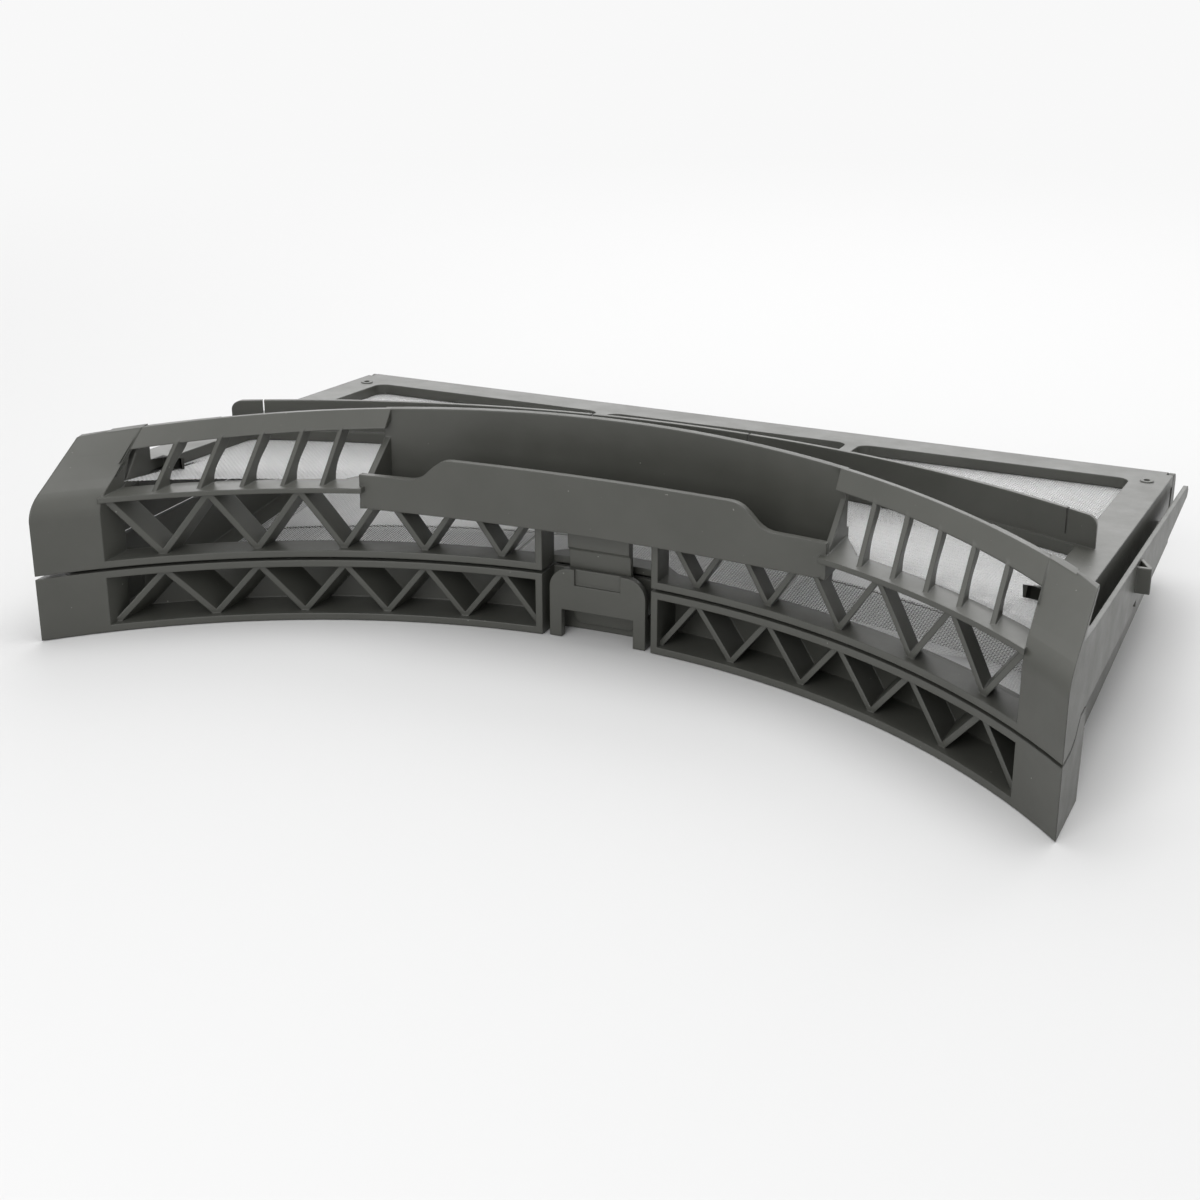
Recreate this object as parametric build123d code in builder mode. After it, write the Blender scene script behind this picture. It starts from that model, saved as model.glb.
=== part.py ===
from build123d import *
import os
from math import asin, atan2, ceil, cos, degrees, hypot, radians, sin, sqrt, tan

# Overall sizes, in millimetres. The origin is under the middle of the part, on the surface it stands on.
width = 430.0               # across the two end caps
depth = 270.0               # front corners to the back of the hinge roll
face_radius = 290.0         # concave front face, about an upright axis in front of the part
wall = 2.5                  # common moulded wall
rib = 2.0                   # common moulded rib

# Front, from the surface up
lower_height = 27.5         # lower grille box
parting_gap = 1.5           # gap between the two halves
flange = 3.0                # bars along the parting line and the bottom
truss_height = 25.8         # upper truss, between its flange and the shelf
shelf_thick = 2.2
rim_rise = 27.8             # rim above the upper panel, at the middle of the part
rim_setback = 25.0          # rim edge behind the face
rim_tilt = 6.75             # degrees the plane of the rim rises towards the back
rim_band = 11.0             # height of the band over the louvres

# Grille
grille_depth = 22.0         # bars, front to back
leg_setback = 3.5           # truss legs and louvres stand this far behind the face
gap_half = 25.0             # half width of the latch gap
gap_wall = 3.0              # walls beside the latch gap
gap_depth = 12.0            # latch gap, front to back
truss_cells = 5             # zigzag cells on each side
leg_thick = 2.3
louvre_count = 5            # louvre fins on each side
louvre_foot = 20.0          # louvre depth at the shelf
shelf_depth = 28.0          # its back edge is the front edge of the windows

# End caps
cap_width = 20.5            # end face to the grille openings
cap_depth = 36.0            # front corner to the back of the cap at the shelf
bend_radius = 14.0          # round bend between the upright face and the slope
cap_lean = 16.0             # the cap's back leans away this far between shelf and rim
parting_rise = 8.0          # the parting line climbs this far on the end faces
parting_front = 12.0        # level stretch of that line behind the front corner
parting_run = 14.0          # stretch in which it climbs
tab_thick = 5.0             # tab of the lower cap that fills the climb

# Handle pocket
pocket_half = 104.0         # half width of the pocket
lip_radius = 780.0          # the lip is flatter than the face
lip_bulge = 8.3             # lip in front of the face at the middle
lip_thick = 3.0
lip_drop = 7.8              # underside of the lip below the shelf
lip_end_height = 15.0       # height of the lip at its ends
lip_rise = 10.0             # raised stretch above the ends
lip_high_half = 62.0        # half width of the raised stretch
lip_step = 20.0             # width of the soft step down to the ends
lip_corner = 5.0

# Latch
tongue_side = 2.5           # room beside the tongue in the yoke
tongue_thick = 2.4
tongue_bottom = 4.0
tongue_ledge = 8.0          # ledge on the tongue above the yoke
tongue_step = 1.6
tongue_corner = 4.0
yoke_side = 3.0             # room beside the yoke in the latch gap
yoke_thick = 3.0
yoke_rise = 3.5             # top of the yoke above the lower grille box
yoke_bar_bottom = 12.5
yoke_leg = 5.5
yoke_shoulder = 9.0
latch_clearance = 0.6       # between the yoke and the path of the tongue
scoop_half = 10.5           # thumb scoop, open at the top of the yoke
scoop_height = 7.0
scoop_depth = 1.2

# Hinge along the back edge
roll_radius = 4.5           # rolled back edge of the upper panel
hinge_z = 47.5
stub_radius = 2.5           # hinge stubs on the upper half
hinge_clearance = 0.06      # radial, between stub and ear
ear_gap = 0.4               # round the ear, which stands in a notch of the upper half
ear_root = 6.0              # ear root down the side wall
hinge_gap = 0.6             # between the roll and the back wall below it

# Upper panel
side_step = 9.0             # end face to the side of the panel and of the side walls
panel_slope = 3.9           # degrees down to the back
panel_thick = 5.0
rear_rail = 25.0            # back edge to the windows
side_rail = 16.0
mullion_x = 63.4
mullion = 6.0
window_corner = 6.0         # on the upper panel; the lower windows have plain corners
dimple_radius = 3.0         # raised ring at the back corners
dimple_hole = 1.4
dimple_height = 0.6
dimple_inset = (8.7, 26.0)

# Seal fin across the upper panel, and the one that the lower half stands on
seal_radius = 420.0
seal_run = 54.6             # rim edge to the fin, at the middle of the part
seal_inset = 8.3            # side of the panel to the end of the fin
seal_thick = 2.0
seal_height = 16.5          # fin above the panel, at the middle of the part
seal_corner = 4.0
seal_rail = 5.0             # panel rail along the fin
slit = 0.8                  # expansion slits in the fin
slit_middle = 37.5          # inner slits, from the middle of the part
slit_inset = 12.5           # outer slits, from the end of the fin
slit_foot = 3.0             # fin left whole under a slit

# Side flange and its clip
flange_out = 2.0            # thickness of the outer side flange
flange_taper = 3.0          # it draws in this far towards the back
flange_height = 28.0        # its height behind the end cap
flange_end_height = 5.0     # its height at the back end
flange_end_drop = 6.0       # lower edge at the back end, below the hinge axis
flange_bend = 75.0          # back edge to where the lower edge starts to climb
gutter_end = 40.0           # gutter floor stops this far before the back edge
clip_setback = 141.0        # back edge to the front face of the clip
clip_out = 5.5
clip_length = 12.0
clip_rise = 8.0             # clip above the lower edge of the flange
clip_height = 10.5
clip_wall = 1.8
notch_setback = 139.0       # back edge to the notch in the lower edge of the flange
notch_width = 8.0
notch_height = 3.0

# Lower half
lower_mesh_back_z = 24.3    # mesh plane at the back edge
lower_slope = 5.2           # degrees up to the back
lower_panel_thick = 5.0
side_drop = 1.0             # top of the lower side walls below the raised parting line
rear_wall_back = 1.5        # back face of the rear wall behind the hinge axis

# Mesh panes
mesh_thick = 0.6
mesh_margin = 2.0           # pane edge bonded to the inside of the panel frame
mesh_columns = 4            # openings across a pane, a plain stand-in for the weave
mesh_strand = 6.0           # strands between the openings

# Places that follow from the sizes
front_y = -depth / 2
back_y = depth / 2
half_width = width / 2
opening_end = half_width - cap_width
panel_half = half_width - side_step
inner_side = panel_half - wall
seal_half = panel_half - seal_inset
hinge_y = back_y - roll_radius
far = 2 * (width + depth)
bite = 0.5                  # how far a rib runs into the wall that carries it

rim_radius = face_radius + rim_setback
bar_radius = face_radius + grille_depth
leg_radius = face_radius + leg_setback
web_radius = rim_radius + wall
shelf_radius = face_radius + shelf_depth
face_centre_y = front_y - sqrt(face_radius ** 2 - half_width ** 2)
rim_middle_y = face_centre_y + rim_radius
seal_middle_y = rim_middle_y + seal_run
seal_centre_y = seal_middle_y - seal_radius
lip_centre_y = face_centre_y + face_radius - lip_bulge - lip_radius

upper_base = lower_height + parting_gap
shelf_z = upper_base + flange + truss_height
lip_bottom = shelf_z - lip_drop
lip_end_top = lip_bottom + lip_end_height
lip_top = lip_end_top + lip_rise
pocket_floor = lip_bottom + wall
side_parting_z = lower_height + parting_rise - side_drop
panel_back_z = hinge_z + roll_radius
rim_z = panel_back_z + (back_y - rim_middle_y) * tan(radians(panel_slope)) + rim_rise
seal_top = panel_back_z + (back_y - seal_middle_y) * tan(radians(panel_slope)) + seal_height

gap_side = gap_half + gap_wall
yoke_half = gap_half - yoke_side
yoke_top = lower_height + yoke_rise
tongue_half = yoke_half - yoke_leg - tongue_side
tongue_step_z = yoke_top + tongue_ledge

cap_back = front_y + cap_depth
flange_edge = half_width - flange_out
flange_low_z = upper_base + parting_rise
flange_end_z = hinge_z - flange_end_drop
flange_bend_y = back_y - flange_bend


def face_y(x, radius):
    """Depth position of the arc of this radius at x."""
    return face_centre_y + sqrt(radius ** 2 - x ** 2)


def rim_at(y):
    """Height of the tilted rim plane at this depth position."""
    return rim_z + (y - rim_middle_y) * tan(radians(rim_tilt))


def slope_rise():
    """Steepness of the slope above the upright face, between the bend and the rim of the end cap."""
    corner_z = rim_at(face_y(half_width, rim_radius))
    return (corner_z - shelf_z - shelf_thick / 2) / rim_setback


def panel_z(y):
    """Top of the upper panel frame."""
    return panel_back_z + (back_y - y) * tan(radians(panel_slope))


def lower_mesh_z(y):
    """Top of the lower panel frame, where its mesh lies."""
    return lower_mesh_back_z - (back_y - y) * tan(radians(lower_slope))


def flange_top(y):
    """Top edge of the side flange at this depth position."""
    front_z = flange_low_z + flange_height
    fall = (front_z - flange_end_z - flange_end_height) / (back_y - cap_back)
    return front_z - (y - cap_back) * fall


def ring(inner, outer, x_low, x_high, z_low, z_high, centre_y=face_centre_y):
    """Right-hand stretch of a curved bar between two radii, about the axis of the face by default."""
    with BuildPart() as bar:
        with BuildSketch(Plane.XY.offset(z_low)):
            with Locations((0, centre_y)):
                Circle(outer)
                Circle(inner, mode=Mode.SUBTRACT)
            with Locations(((x_low + x_high) / 2, centre_y + outer)):
                Rectangle(x_high - x_low, 2 * outer, mode=Mode.INTERSECT)
        extrude(amount=z_high - z_low)
    return bar.part


def side_plate(points, x_low, x_high):
    """Plate in the side view, from (y, z) points, between two x places."""
    with BuildPart() as plate:
        with BuildSketch(Plane.YZ.offset(x_low)):
            with BuildLine():
                Polyline(*points, close=True)
            make_face()
        extrude(amount=x_high - x_low)
    return plate.part


def slab(z_back, slope, thick):
    """Sloping slab over the whole plan, with its top at z_back over the back edge."""
    rise = tan(radians(slope))
    ahead = depth + roll_radius
    front = back_y - ahead
    points = [
        (back_y, z_back),
        (front, z_back + ahead * rise),
        (front, z_back + ahead * rise - thick),
        (back_y, z_back - thick),
    ]
    return side_plate(points, 0, half_width)


def truss(z_low, z_high, feet_down):
    """Right-hand zigzag of legs between two bars."""
    cell = (opening_end - gap_side) / truss_cells
    sink = rib / 2
    with BuildPart() as legs:
        with BuildSketch(Plane.XZ):
            for index in range(2 * truss_cells):
                start = gap_side + index * cell / 2
                falls = (index % 2 == 0) == feet_down
                lean = atan2(z_high - z_low, cell / 2) * (-1 if falls else 1)
                with Locations(Location((start + cell / 4, (z_low + z_high) / 2), degrees(lean))):
                    Rectangle(hypot(z_high - z_low, cell / 2) + 4 * sink, leg_thick)
            with Locations(((gap_side + opening_end) / 2, (z_low + z_high) / 2)):
                Rectangle(opening_end - gap_side + 2 * sink, z_high - z_low + 2 * sink, mode=Mode.INTERSECT)
        extrude(amount=far, both=True)
        add(ring(leg_radius, bar_radius, 0, half_width, 0, rim_z), mode=Mode.INTERSECT)
    return legs.part


def envelope(inset):
    """Everything behind the upright face and the slope above it, set back by an inset."""
    bend_z = shelf_z + shelf_thick / 2
    rise = slope_rise()
    front = face_centre_y + face_radius + inset
    top = 2 * rim_z
    with BuildPart() as body:
        with BuildSketch(Plane.YZ) as profile:
            with BuildLine():
                Polyline(
                    (front, 0),
                    (front, bend_z - inset * (hypot(1, rise) - rise)),
                    (front + (top - bend_z) / rise, top),
                    (front + depth, top),
                    (front + depth, 0),
                    close=True,
                )
            make_face()
            bend = profile.vertices().sort_by(Axis.X)[0:2].sort_by(Axis.Y)[-1]
            fillet(bend, bend_radius)
        revolve(axis=Axis((0, face_centre_y, 0), (0, 0, -1)), revolution_arc=90)
    return body.part


def below_rim(drop):
    """Everything on the right under the tilted rim plane, lowered by a drop."""
    points = [
        (front_y - depth, 0),
        (front_y - depth, rim_at(front_y - depth) - drop),
        (back_y, rim_at(back_y) - drop),
        (back_y, 0),
    ]
    return side_plate(points, 0, width)


def pane_plan(low, high, front_row, grow):
    """Plan of one panel window between two x places, grown by a margin."""
    with BuildSketch() as plan:
        with Locations(((low + high) / 2, face_centre_y + far / 2)):
            Rectangle(high - low + 2 * grow, far)
        if front_row:
            with Locations((0, seal_centre_y)):
                Circle(seal_radius - seal_rail / 2 + grow, mode=Mode.INTERSECT)
            with Locations((0, face_centre_y)):
                Circle(shelf_radius, mode=Mode.SUBTRACT)
        else:
            with Locations((0, back_y - rear_rail + grow - far / 2)):
                Rectangle(far, far, mode=Mode.INTERSECT)
            with Locations((0, seal_centre_y)):
                Circle(seal_radius + seal_rail / 2 - grow, mode=Mode.SUBTRACT)
    return plan.sketch


def window_plan(low, high, front_row, corner):
    """Plan of one panel window, with its corners rounded where a radius is given."""
    with BuildSketch() as window:
        add(pane_plan(low, high, front_row, 0))
        if corner:
            fillet(window.vertices(), corner)
    return window.sketch


window_edge = mullion_x - mullion / 2
window_spans = {
    "middle": (-window_edge, window_edge),
    "right": (mullion_x + mullion / 2, panel_half - side_rail),
    "left": (side_rail - panel_half, -mullion_x - mullion / 2),
}
window_rows = {"front": True, "rear": False}


def panel(front_radius, sloping_slab, corner):
    """Right half of a window frame, cut out of a sloping slab behind a radius."""
    with BuildPart() as frame:
        with BuildSketch():
            with Locations((panel_half / 2, (hinge_y + face_centre_y) / 2)):
                Rectangle(panel_half, hinge_y - face_centre_y)
            with Locations((0, face_centre_y)):
                Circle(front_radius, mode=Mode.SUBTRACT)
            for front_row in window_rows.values():
                for low, high in window_spans.values():
                    add(window_plan(low, high, front_row, corner), mode=Mode.SUBTRACT)
        extrude(amount=2 * rim_z)
        add(sloping_slab, mode=Mode.INTERSECT)
    return frame.part


def mesh_openings(low, high, front_row):
    """Plan of the openings in one mesh pane, without the slivers along its curved edges."""
    pitch = (high - low) / mesh_columns
    rows = ceil(depth / pitch)
    opening = pitch - mesh_strand
    with BuildSketch() as openings:
        with Locations(((low + high) / 2, back_y - rear_rail - rows * pitch / 2)):
            with GridLocations(pitch, pitch, mesh_columns, rows):
                Rectangle(opening, opening)
        add(pane_plan(low, high, front_row, 0), mode=Mode.INTERSECT)
    return openings.faces().filter_by(lambda face: face.area > opening ** 2 / 3)


def mesh_pane(span, front_row, z_back, slope):
    """One mesh pane, bonded to the inside of its window frame."""
    rise = tan(radians(slope))
    front = back_y - far
    low, high = span
    with BuildPart() as pane:
        with BuildSketch():
            add(pane_plan(low, high, front_row, mesh_margin))
            add(mesh_openings(low, high, front_row), mode=Mode.SUBTRACT)
        extrude(amount=2 * rim_z)
        with BuildSketch(Plane.YZ):
            with BuildLine():
                Polyline(
                    (back_y, z_back),
                    (front, z_back + far * rise),
                    (front, z_back + far * rise - mesh_thick),
                    (back_y, z_back - mesh_thick),
                    close=True,
                )
            make_face()
        extrude(amount=width, both=True, mode=Mode.INTERSECT)
    return pane.part


def louvre(x):
    """One upright louvre fin between the shelf and the rim, with a flowing back edge."""
    foot_y = face_y(x, leg_radius)
    foot_z = shelf_z + shelf_thick - bite
    rim_y = face_y(x, rim_radius)
    top_z = rim_at(rim_y) - rim_band + bite
    top_front = (rim_y - (rim_band - bite) / slope_rise(), top_z)
    top_back = (rim_y + wall / 2, top_z)
    foot_back = (foot_y + louvre_foot, foot_z)
    middle_z = (foot_z + top_z) / 2
    with BuildPart() as fin:
        with BuildSketch(Plane.YZ.offset(x - rib / 2)):
            with BuildLine():
                Polyline(foot_back, (foot_y, foot_z), top_front, top_back)
                Bezier(top_back, (top_back[0], middle_z), (foot_back[0], middle_z), foot_back)
            make_face()
        extrude(amount=rib)
    return fin.part


def rim_bar():
    """Sloping band over the louvres, revolved about the tilted axis of the rim."""
    lean = radians(rim_tilt)
    edge_y = rim_middle_y
    run = rim_band / slope_rise()
    axis = Axis(
        (0, edge_y - rim_radius * cos(lean), rim_z - rim_radius * sin(lean)),
        (0, sin(lean), -cos(lean)),
    )
    with BuildPart() as bar:
        with BuildSketch(Plane.YZ):
            with BuildLine():
                Polyline(
                    (edge_y, rim_z),
                    (edge_y + wall, rim_z),
                    (edge_y + wall, rim_z - wall),
                    (edge_y + wall - run, rim_z - rim_band),
                    (edge_y - run, rim_z - rim_band),
                    close=True,
                )
            make_face()
        revolve(axis=axis, revolution_arc=90)
        add(ring(face_radius, far, pocket_half - wall, opening_end + bite, 0, 2 * rim_z), mode=Mode.INTERSECT)
    return bar.part


def under_panel(drop):
    """Everything on the right under the plane of the upper panel, lowered by a drop."""
    points = [
        (front_y, 0),
        (front_y, panel_z(front_y) - drop),
        (back_y, panel_z(back_y) - drop),
        (back_y, 0),
    ]
    return side_plate(points, 0, width)


def pocket_rail():
    """Right half of the panel rail that joins the panel to the back wall of the pocket."""
    with BuildPart() as rail:
        add(ring(web_radius - bite, shelf_radius + mesh_margin, 0, pocket_half, 0, 2 * rim_z))
        add(slab(panel_back_z, panel_slope, panel_thick), mode=Mode.INTERSECT)
    return rail.part


def cap_upright():
    """Upright wall between the rim of the end cap and the side rail of the panel."""
    with BuildPart() as upright:
        add(ring(rim_radius, shelf_radius + bite, opening_end, panel_half, shelf_z, 2 * rim_z))
        add(below_rim(0), mode=Mode.INTERSECT)
    return upright.part


def parting_line(base):
    """Parting line on an end face, climbing from a base height, as (y, z) points."""
    climb_y = front_y + parting_front
    return [
        (front_y - depth, base),
        (climb_y, base),
        (climb_y + parting_run / 2, base + parting_rise / 4),
        (climb_y + parting_run, base + parting_rise),
        (cap_back, base + parting_rise),
    ]


def end_cap():
    """Hollow upper end cap, open at the back, with the side gutter running up to its front wall."""
    with BuildPart() as hollow:
        add(ring(face_radius, far, opening_end + wall, half_width - wall, upper_base + parting_rise + wall, rim_z))
        add(envelope(wall), mode=Mode.INTERSECT)
        add(below_rim(wall), mode=Mode.INTERSECT)
    gutter = [
        (front_y, flange_top(front_y)),
        (back_y, flange_top(back_y)),
        (back_y, 2 * rim_z),
        (front_y, 2 * rim_z),
    ]
    with BuildPart() as open_side:
        add(side_plate(gutter, panel_half, width))
        add(envelope(wall), mode=Mode.INTERSECT)
    with BuildPart() as above_panel:
        add(ring(web_radius, far, opening_end, half_width, 0, 2 * rim_z))
        add(under_panel(0), mode=Mode.SUBTRACT)
    sides = [
        (front_y - depth, upper_base),
        (cap_back, upper_base),
        (cap_back, shelf_z),
        (cap_back + cap_lean, rim_z),
        (front_y - depth, rim_z),
    ]
    under_climb = parting_line(upper_base) + [(cap_back, 0), (front_y - depth, 0)]
    with BuildPart() as cap:
        add(side_plate(sides, opening_end, half_width))
        add(side_plate(under_climb, half_width - tab_thick - parting_gap, half_width), mode=Mode.SUBTRACT)
        add(envelope(0), mode=Mode.INTERSECT)
        add(below_rim(0), mode=Mode.INTERSECT)
        add(hollow.part, mode=Mode.SUBTRACT)
        add(open_side.part, mode=Mode.SUBTRACT)
        add(above_panel.part, mode=Mode.SUBTRACT)
    return cap.part


def lip():
    """Right half of the handle lip: raised middle, soft step and rounded ends."""
    step_end = lip_high_half + lip_step
    step_middle = lip_high_half + lip_step / 2
    with BuildPart() as plate:
        with BuildSketch(Plane.XZ) as outline:
            with BuildLine():
                Polyline(
                    (lip_high_half, lip_top),
                    (0, lip_top),
                    (0, lip_bottom),
                    (pocket_half, lip_bottom),
                    (pocket_half, lip_end_top),
                    (step_end, lip_end_top),
                )
                Bezier((step_end, lip_end_top), (step_middle, lip_end_top),
                       (step_middle, lip_top), (lip_high_half, lip_top))
            make_face()
            fillet(outline.vertices().sort_by(Axis.X)[-2:].sort_by(Axis.Y)[0], lip_corner)
        extrude(amount=far, both=True)
        add(ring(lip_radius, lip_radius + lip_thick, 0, half_width, 0, rim_z, lip_centre_y), mode=Mode.INTERSECT)
    return plate.part


def pocket():
    """Right half of the pocket behind the lip: floor, back wall and end wall."""
    with BuildPart() as end:
        add(ring(leg_radius, web_radius, pocket_half - wall, pocket_half, pocket_floor - wall, 2 * rim_z))
        add(envelope(leg_setback), mode=Mode.INTERSECT)
    with BuildPart() as box:
        with BuildSketch(Plane.XY.offset(pocket_floor - wall)):
            with Locations((0, face_centre_y)):
                Circle(web_radius)
            with Locations((0, lip_centre_y)):
                Circle(lip_radius + bite, mode=Mode.SUBTRACT)
            with Locations((pocket_half / 2, face_centre_y + far / 2)):
                Rectangle(pocket_half, far, mode=Mode.INTERSECT)
        extrude(amount=wall)
        add(end.part)
        add(ring(rim_radius, web_radius, 0, pocket_half, pocket_floor - wall, 2 * rim_z))
        add(below_rim(0), mode=Mode.INTERSECT)
    return box.part


def seal_fin(height):
    """Right half of a curved upright fin, from the standing surface up."""
    with BuildPart() as fin:
        with BuildSketch():
            with Locations((0, seal_centre_y)):
                Circle(seal_radius + seal_thick / 2)
                Circle(seal_radius - seal_thick / 2, mode=Mode.SUBTRACT)
            with Locations((seal_half / 2, seal_centre_y + far / 2)):
                Rectangle(seal_half, far, mode=Mode.INTERSECT)
        extrude(amount=height)
    return fin.part


def upper_seal():
    """Right half of the fin on the upper panel, with its rounded end and expansion slits."""
    with BuildPart() as fin:
        add(seal_fin(seal_top))
        with BuildSketch(Plane.XZ) as front_view:
            with Locations((seal_half / 2, seal_top / 2)):
                Rectangle(seal_half, seal_top)
            fillet(front_view.vertices().sort_by(Axis.X)[-2:].sort_by(Axis.Y)[-1], seal_corner)
        extrude(amount=far, both=True, mode=Mode.INTERSECT)
        for x in (slit_middle, seal_half - slit_inset):
            y = seal_centre_y + sqrt(seal_radius ** 2 - x ** 2)
            with BuildSketch(Plane.XY.offset(panel_z(y) + slit_foot)):
                with Locations(Location((x, y), -degrees(asin(x / seal_radius)))):
                    Rectangle(slit, 4 * seal_thick)
            extrude(amount=seal_top, mode=Mode.SUBTRACT)
        add(under_panel(panel_thick), mode=Mode.SUBTRACT)
    return fin.part


def lower_seal():
    """Right half of the fin under the lower panel, which the part stands on."""
    above = [
        (front_y, lower_mesh_z(front_y) - wall),
        (back_y, lower_mesh_z(back_y) - wall),
        (back_y, rim_z),
        (front_y, rim_z),
    ]
    with BuildPart() as fin:
        add(seal_fin(lower_mesh_back_z))
        add(side_plate(above, 0, width), mode=Mode.SUBTRACT)
    return fin.part


def dimple():
    """Raised ring at the right back corner of the upper panel, as a ring and the hole through it."""
    place = (panel_half - dimple_inset[0], back_y - dimple_inset[1])
    top = panel_z(place[1]) + dimple_height
    with BuildPart() as boss:
        with BuildSketch(Plane.XY.offset(top)):
            with Locations(place):
                Circle(dimple_radius)
        extrude(amount=-wall)
    with BuildPart() as hole:
        with BuildSketch(Plane.XY.offset(top)):
            with Locations(place):
                Circle(dimple_hole)
        extrude(amount=-wall)
    return boss.part, hole.part


def tongue():
    """Right half of the latch tongue, inside the circle that clears the yoke about the hinge."""
    yoke_back = face_y(0, face_radius) + yoke_thick
    reach = hypot(hinge_y - yoke_back, hinge_z - yoke_top) - latch_clearance
    root_z = pocket_floor - wall + bite

    def front_at(z):
        return hinge_y - sqrt(reach ** 2 - (hinge_z - z) ** 2)

    middle_z = (tongue_step_z + tongue_bottom) / 2
    with BuildPart() as strip:
        with BuildSketch(Plane.YZ):
            with BuildLine():
                ThreePointArc(
                    (front_at(tongue_step_z), tongue_step_z),
                    (front_at(middle_z), middle_z),
                    (front_at(tongue_bottom), tongue_bottom),
                )
                Polyline(
                    (front_at(tongue_bottom), tongue_bottom),
                    (front_at(tongue_bottom) + tongue_thick, tongue_bottom),
                )
                ThreePointArc(
                    (front_at(tongue_bottom) + tongue_thick, tongue_bottom),
                    (front_at(middle_z) + tongue_thick, middle_z),
                    (front_at(tongue_step_z) + tongue_thick, tongue_step_z),
                )
                Polyline(
                    (front_at(tongue_step_z) + tongue_thick, tongue_step_z),
                    (front_at(tongue_step_z) + tongue_thick, root_z),
                    (front_at(tongue_step_z) - tongue_step, root_z),
                    (front_at(tongue_step_z) - tongue_step, tongue_step_z + tongue_step),
                    (front_at(tongue_step_z), tongue_step_z),
                )
            make_face()
        extrude(amount=tongue_half)
        corner = strip.edges().filter_by(Axis.Y, tolerance=0.01).sort_by(Axis.Z)[0:2].sort_by(Axis.X)[-1]
        fillet(corner, tongue_corner)
    return strip.part


def side_flange():
    """Right-hand gutter with its outer flange, which draws in towards the back, its notch and its clip."""
    front = cap_back - bite
    gutter_back = back_y - gutter_end
    climb = (flange_end_z - flange_low_z) / flange_bend
    gutter_z = flange_low_z + climb * (gutter_back - flange_bend_y)
    draw_in = flange_taper / (back_y - cap_back)
    clip_y = back_y - clip_setback
    clip_z = flange_low_z + clip_rise
    clip_x = half_width - draw_in * (clip_y - cap_back)
    plate = [
        (front, flange_low_z),
        (flange_bend_y, flange_low_z),
        (back_y - wall, flange_end_z),
        (back_y, flange_end_z + flange_end_height / 2),
        (back_y - wall, flange_end_z + flange_end_height),
        (front, flange_top(front)),
    ]
    floor = [
        (front, flange_low_z),
        (flange_bend_y, flange_low_z),
        (gutter_back, gutter_z),
        (gutter_back, gutter_z + rib),
        (flange_bend_y, flange_low_z + rib),
        (front, flange_low_z + rib),
    ]
    with BuildPart() as side:
        add(side_plate(plate, inner_side, half_width))
        with BuildSketch():
            with BuildLine():
                Polyline(
                    (flange_edge, front),
                    (half_width, front),
                    (half_width, cap_back),
                    (half_width - flange_taper, back_y),
                    (flange_edge - flange_taper, back_y),
                    (flange_edge, cap_back),
                    close=True,
                )
            make_face()
        extrude(amount=2 * rim_z, mode=Mode.INTERSECT)
        with BuildSketch(Plane.YZ.offset(inner_side)):
            with Locations((back_y - notch_setback, flange_low_z)):
                Rectangle(notch_width, 2 * notch_height)
        extrude(amount=half_width, mode=Mode.SUBTRACT)
        with BuildSketch(Plane.XY.offset(clip_z)):
            with BuildLine():
                Polyline(
                    (clip_x - bite, clip_y),
                    (clip_x + clip_out, clip_y),
                    (clip_x + clip_out, clip_y + clip_wall),
                    (clip_x - bite, clip_y + clip_length),
                    close=True,
                )
            make_face()
        extrude(amount=clip_height)
        with BuildSketch(Plane.XY.offset(clip_z + clip_wall)):
            with BuildLine():
                Polyline(
                    (clip_x, clip_y + clip_wall),
                    (clip_x + clip_out - clip_wall, clip_y + clip_wall),
                    (clip_x, clip_y + clip_length - 2 * clip_wall),
                    close=True,
                )
            make_face()
        extrude(amount=clip_height, mode=Mode.SUBTRACT)
    with BuildPart() as trough:
        add(side_plate(floor, inner_side + bite, half_width))
        with BuildSketch():
            with BuildLine():
                Polyline(
                    (inner_side, front),
                    (flange_edge + bite, front),
                    (flange_edge + bite, cap_back),
                    (flange_edge + bite - flange_taper, back_y),
                    (inner_side, back_y),
                    close=True,
                )
            make_face()
        extrude(amount=2 * rim_z, mode=Mode.INTERSECT)
    return [side.part, trough.part]


def upper_side_wall():
    """Right-hand inner wall under the panel rail."""
    back = hinge_y - 2 * roll_radius
    front = cap_back - bite
    low_z = side_parting_z + parting_gap
    points = [
        (front, low_z),
        (back, low_z),
        (back, panel_z(back) - wall),
        (front, panel_z(front) - wall),
    ]
    return side_plate(points, inner_side, panel_half)


def lower_cap():
    """Hollow lower end cap, open at the back."""
    below = [(cap_back - wall, 0), (front_y - depth, 0)]
    level = [(front_y - depth, lower_height), (cap_back, lower_height)]
    with BuildPart() as cap:
        add(side_plate(level + below, opening_end, half_width))
        add(side_plate(parting_line(lower_height) + below, half_width - tab_thick, half_width))
        add(ring(face_radius, far, 0, half_width, 0, rim_z), mode=Mode.INTERSECT)
        add(ring(face_radius + wall, far, opening_end + wall, half_width - wall, wall, lower_height - wall),
            mode=Mode.SUBTRACT)
    return cap.part


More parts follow.
